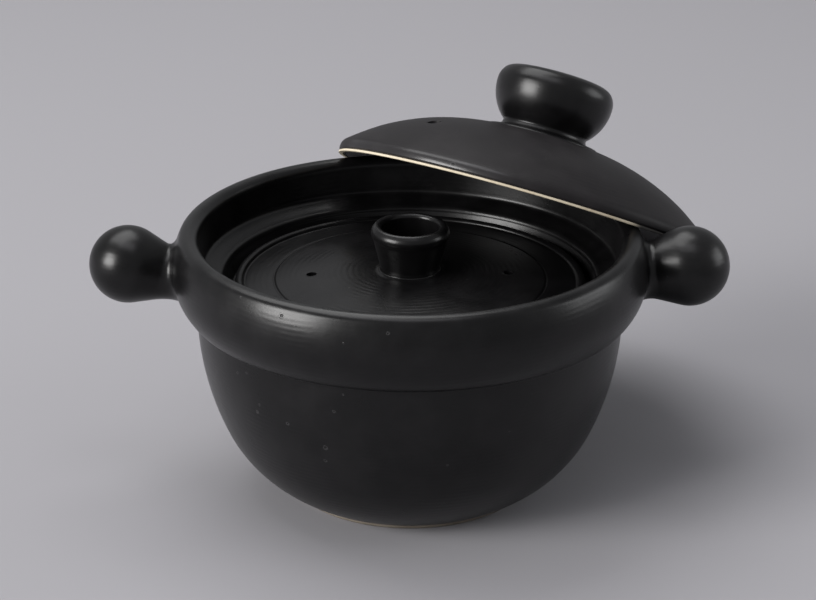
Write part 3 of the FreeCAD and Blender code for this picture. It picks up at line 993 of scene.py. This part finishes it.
@dataclass
class InnerLid:
    """Flat inner lid: outer bead, step ring, ring-shaped knob and two steam holes."""

    seat: float = 96.6
    radius: float = 80.7
    rim_height: float = 3.7
    bead_width: float = 4.4
    bead_height: float = 1.8
    groove: float = 1.2
    ring_radius: float = 62.5
    ring_height: float = 4.9
    ring_step: float = 0.6
    dome_height: float = 8.8
    dome_middle: Point = (38.9, 7.25)
    underside_radius: float = 70.0
    underside_height: float = 3.0
    foot_radius: float = 15.3
    waist: Point = (13.8, 1.6)
    bore: float = 13.2
    ring_round: float = 2.5
    knob_height: float = 21.9
    cup_floor: float = 4.2
    cup_round: float = 6.0
    hole_reach: float = 45.3
    hole_turn: float = 1.9
    hole_diameter: float = 4.8

    def contour(self) -> Contour:
        """Half section from the middle of the underside, over the rim, to the floor of the knob's cup."""
        bead = self.radius - self.bead_width
        bead_top = ((self.radius + bead) / 2, self.rim_height + self.bead_height)
        top = self.dome_height + self.knob_height - self.ring_round
        outer = self.bore + self.ring_round * 2
        floor = self.dome_height + self.cup_floor
        section = Contour([(0.0, self.underside_height)])
        section.line(8.0, self.underside_height - 0.04)
        section.flat((self.underside_radius, 0.0), False, 0.6, steps=8)
        section.line(self.radius - 1.0, 0.0, 0.4)
        section.line(self.radius, 1.0, 0.5)
        section.line(self.radius, self.rim_height, 0.5)
        section.through(bead_top, (bead, self.rim_height), 0.7, steps=8)
        section.line(bead - self.groove, self.rim_height + self.groove * 0.25, 0.6)
        section.line(self.ring_radius + self.ring_step, self.ring_height, 0.5, steps=5)
        section.line(self.ring_radius, self.ring_height - self.ring_step * 0.7, 0.35)
        section.line(self.ring_radius - self.ring_step, self.ring_height + self.ring_step * 0.5, 0.5)
        section.through(self.dome_middle, (self.foot_radius, self.dome_height), 1.6, steps=14)
        section.upright((self.waist[0], self.dome_height + self.waist[1]), True, 1.2, steps=6)
        section.line(outer - 0.95, top - 4.0, 1.2, steps=8)
        section.through((outer, top - 1.0), (outer - 1.1, top + 1.55), 0.8, steps=8)
        section.through((self.bore + self.ring_round - 0.2, top + self.ring_round), (self.bore, top))
        section.line(self.bore, floor + self.cup_round, steps=3)
        section.upright((self.bore - self.cup_round, floor), False, steps=8)
        section.line(3.0, floor).line(0.0, floor)
        return section

    def build(self) -> None:
        """Throws the lid, bores its steam holes and lays it on its seat."""
        lid = Wheel(176).throw("inner_lid_body", self.contour())
        Handwork.wander(lid, 45.0, 0.25)
        for side in (1, -1):
            Handwork.bore(lid, side * self.hole_reach, self.hole_turn, self.hole_diameter)
        pose = Pose(Vector((0, 0, self.seat * MM)))
        Handwork.set_down(lid, pose)
        glaze = BlackGlaze("black_glaze_inner_lid", False, rings_per_metre=360.0, ring_depth=0.022)
        Register.enter(lid, Clay.GLAZED, glaze.build(pose), "inner_lid")


@dataclass
class OuterLid:
    """Domed outer lid with its large knob, a bare rim and a steam hole, leaning on the lip."""

    radius: float = 92.1
    rim_width: float = 2.8
    rim_height: float = 4.8
    bare_height: float = 0.95
    shoulder: float = 3.9
    flange: Point = (81.5, 14.1)
    dome_middle: Point = (63.667, 24.167)
    dome_height: float = 33.5
    ridge_radius: float = 28.0
    ridge_width: float = 3.0
    ridge_height: float = 1.1
    neck: Point = (20.8, 4.4)
    knob_wide: Point = (29.0, 22.6)
    knob_shoulder: Point = (24.4, 30.9)
    knob_height: float = 32.8
    knob_offset: float = 0.9
    crown: Point = (30.0, 19.2)
    hollow_middle: Point = (59.05, 15.8)
    hollow_edge: Point = (88.1, 4.0)
    hole_reach: float = 64.7
    hole_turn: float = 215.2
    hole_diameter: float = 6.2
    rim_centre: Place = (53.5123, 77.2815, 108.1385)
    toward: float = 55.3
    lean: float = 28.34
    pinhole: Spot = Spot((-41.5, -82.2, 3.5), 0.8)
    # Where the bare rim's far right part is painted dark as shade.
    shade_spot: Spot = Spot((76.0, -46.0, 0.0), 43.0)
    pool: Spot = Spot((-62.0, -68.0, 3.0), 40.0)

    def pose(self) -> Pose:
        """Where the lid leans."""
        toward = math.radians(self.toward)
        axis = Vector((-math.sin(toward), math.cos(toward), 0))
        turn = Matrix.Rotation(math.radians(self.lean), 3, axis)
        return Pose(Vector(self.rim_centre) * MM, turn)

    def contour(self) -> Contour:
        """Half section of the glazed dome, from the middle of its hollow, over the rim, to its top."""
        section = Contour([(0.0, self.crown[1])])
        section.line(10.0, self.crown[1]).line(*self.crown, 2.0, steps=2)
        section.through(self.hollow_middle, self.hollow_edge, 0.8)
        section.line(self.radius - self.rim_width - 0.1, self.bare_height * 0.6, 0.3, steps=2)
        section.line(self.radius - self.rim_width + 0.7, self.bare_height)
        section.line(self.radius - 0.8, self.bare_height + 0.1)
        section.line(self.radius - 0.5, self.bare_height + 0.5, 0.2)
        section.line(self.radius, self.bare_height + 1.0, 0.4)
        section.line(self.radius, self.rim_height + 0.9, 2.6, steps=2)
        section.line(self.radius - self.shoulder, self.rim_height + self.shoulder + 0.15)
        section.line(*self.flange, 6.5, steps=3)
        section.through(self.dome_middle, (self.ridge_radius, self.dome_height), 2.0, steps=18)
        section.line(10.0, self.dome_height, steps=2).line(0.0, self.dome_height)
        return section

    def rim_contour(self) -> Contour:
        """Half section of the bare rim, a flat band round the lid's edge."""
        inner = self.radius - self.rim_width
        section = Contour([(inner + 1.0, self.bare_height + 0.4)])
        section.line(inner + 0.1, self.bare_height * 0.5, 0.1)
        section.line(inner + 0.2, 0.0, 0.25)
        section.line(self.radius - 0.3, 0.0, 0.25)
        section.line(self.radius - 0.25, self.bare_height - 0.1, 0.3)
        section.line(self.radius - 1.1, self.bare_height + 0.4)
        return section

    def knob_contour(self) -> Contour:
        """Half section of the knob with the ridge round its foot."""
        top = self.dome_height
        ridge_in = self.ridge_radius - self.ridge_width
        section = Contour([(0.0, top - 3.0)])
        section.line(self.ridge_radius + 0.3, top - 3.0)
        section.line(self.ridge_radius, top + 0.1, 0.6, steps=2)
        section.line(self.ridge_radius - self.ridge_height, top + self.ridge_height, 0.5)
        section.line(ridge_in, top + self.ridge_height, 0.8)
        section.upright((self.neck[0], top + self.neck[1]), True, steps=7)
        section.upright((self.knob_wide[0], top + self.knob_wide[1]), True, 1.0, steps=16)
        section.upright((self.knob_shoulder[0], top + self.knob_shoulder[1]), False, 2.4, steps=14)
        section.flat((0.0, top + self.knob_height), True, steps=10)
        return section

    def build(self) -> None:
        """Throws dome, rim and knob, and leans them on the lip together."""
        pose = self.pose()
        dome = Wheel(192).throw("outer_lid_dome", self.contour())
        Handwork.wander(dome, 55.0, 0.15)
        Handwork.bore(dome, self.hole_reach, self.hole_turn, self.hole_diameter)
        knob = Wheel(128).throw("outer_lid_knob", self.knob_contour())
        Handwork.wander(knob, 40.0, 0.3)
        Handwork.set_down(knob, Pose(Vector((self.knob_offset * MM, 0, 0))))
        rim = Wheel(192).band("outer_lid_rim", self.rim_contour())
        for piece in (dome, knob, rim):
            Handwork.set_down(piece, pose)
        dull = BlackGlaze(
            "black_glaze_dome",
            False,
            roughness=0.44,
            gloss=0.13,
            colour=(0.0115, 0.0104, 0.0112),
            light_colour=(0.0190, 0.0174, 0.0184),
            spots=(self.pinhole,),
            pool=self.pool,
        )
        bare = BareClay("bare_clay_rim", (0.54, 0.475, 0.36), (0.36, 0.28, 0.18), shade_spots=(self.shade_spot,))
        Register.enter(dome, Clay.GLAZED, dull.build(pose), "outer_lid")
        Register.enter(knob, Clay.GLAZED, BlackGlaze("black_glaze_knob", False).build(pose))
        Register.enter(rim, Clay.BARE, bare.build(pose))


@dataclass(frozen=True)
class SoftBox:
    """Rectangular lamp that faces the pot, with its place and size in metres and its power in watts."""

    name: str
    place: Place
    size: tuple[float, float]
    power: float
    colour: Colour = (1.0, 1.0, 1.0)
    aim: Place = (0.0, 0.0, 0.08)

    def build(self) -> None:
        """Hangs the lamp."""
        data = bpy.data.lights.new(self.name, "AREA")
        data.shape = "RECTANGLE"
        data.size, data.size_y = self.size
        data.energy = self.power
        data.color = self.colour
        lamp = bpy.data.objects.new(self.name, data)
        bpy.context.scene.collection.objects.link(lamp)
        lamp.location = self.place
        line = Vector(self.aim) - Vector(self.place)
        lamp.rotation_euler = line.to_track_quat("-Z", "Y").to_euler()


@dataclass
class Studio:
    """Grey sweep, soft lights and the camera, with places and sizes in metres."""

    camera_place: Place = (-0.0009, -1.2793, 0.6175)
    camera_pitch: float = 67.591
    camera_roll: float = 0.324
    focal: float = 132.35
    sensor: float = 36.0
    clip: tuple[float, float] = (0.05, 30.0)
    sweep_size: float = 8.0
    # Slope, reach and two colours of the painted light falloff on the floor: darker to the right and the
    # back.
    sweep_slope: tuple[float, float] = (-0.10, -0.02)
    sweep_reach: float = 0.5
    sweep_shaded_colour: Colour = (0.286, 0.281, 0.297)
    sweep_lit_colour: Colour = (0.304, 0.298, 0.314)
    sweep_roughness: float = 0.9
    sweep_gloss: float = 0.1
    air_colour: Colour = (0.96, 0.97, 1.0)
    air_strength: float = 0.34
    lamps: tuple[SoftBox, ...] = (
        SoftBox("key_left", (-2.80, -1.65, 1.30), (1.8, 1.7), 165.0, (1.0, 0.99, 0.98)),
        SoftBox("top", (-0.40, 0.55, 1.60), (1.5, 1.1), 19.0),
        SoftBox("overhead", (-0.10, -0.30, 1.55), (1.0, 0.6), 3.8, (0.97, 0.96, 1.0)),
        SoftBox("fill_right", (1.9, 0.2, 0.65), (1.1, 0.9), 10.0, (0.98, 0.99, 1.0)),
    )

    def build(self) -> None:
        """Sets up the whole studio."""
        self._camera()
        self._sweep()
        self._world()
        for lamp in self.lamps:
            lamp.build()
        bpy.context.scene.view_settings.view_transform = "Standard"

    def _camera(self) -> None:
        """Camera at the photograph's angle."""
        data = bpy.data.cameras.new("camera")
        data.lens = self.focal
        data.sensor_width = self.sensor
        data.clip_start, data.clip_end = self.clip
        camera = bpy.data.objects.new("camera", data)
        bpy.context.scene.collection.objects.link(camera)
        camera.matrix_world = (
            Matrix.Translation(self.camera_place)
            @ Matrix.Rotation(math.radians(self.camera_pitch), 4, "X")
            @ Matrix.Rotation(math.radians(self.camera_roll), 4, "Z")
        )
        bpy.context.scene.camera = camera

    def _sweep(self) -> None:
        """Flat floor plane."""
        bpy.ops.object.select_all(action="DESELECT")
        bpy.ops.mesh.primitive_plane_add(size=self.sweep_size, location=(0, 0, 0))
        floor = bpy.context.object
        floor.name = floor.data.name = "sweep"
        bench = Bench("grey_sweep")
        place = bench.node("ShaderNodeTexCoord", {}, {}, "Object")
        across = bench.node("ShaderNodeSeparateXYZ", {}, {0: place}, "X")
        depth = bench.node("ShaderNodeSeparateXYZ", {}, {0: place}, "Y")
        # Painted light falloff across the floor.
        slope = across * self.sweep_slope[0] + depth * self.sweep_slope[1]
        painted_falloff = slope.step(-self.sweep_reach, self.sweep_reach)
        bench.put("Base Color", bench.mix(painted_falloff, self.sweep_shaded_colour, self.sweep_lit_colour))
        bench.put("Roughness", self.sweep_roughness)
        bench.put("Specular IOR Level", self.sweep_gloss)
        floor.data.materials.append(bench.material)

    def _world(self) -> None:
        """Dim, even studio air."""
        world = bpy.data.worlds.new("studio_air")
        bpy.context.scene.world = world
        world.use_nodes = True
        back = world.node_tree.nodes["Background"]
        back.inputs["Color"].default_value = (*self.air_colour, 1.0)
        back.inputs["Strength"].default_value = self.air_strength


def main() -> None:
    """Builds the object and its studio."""
    logging.basicConfig(level=logging.INFO, format="%(name)s: %(message)s")
    Studio().build()
    bowl, glaze = Pot().build()
    BallKnob("knob_right", 1).build(bowl, glaze)
    left = BallKnob("knob_left", -1, reach=129.4, height=107.2, radius=17.88, tilt=13.6, taper=20.5)
    left.build(bowl, glaze)
    InnerLid().build()
    OuterLid().build()


if __name__ == "__main__":
    main()
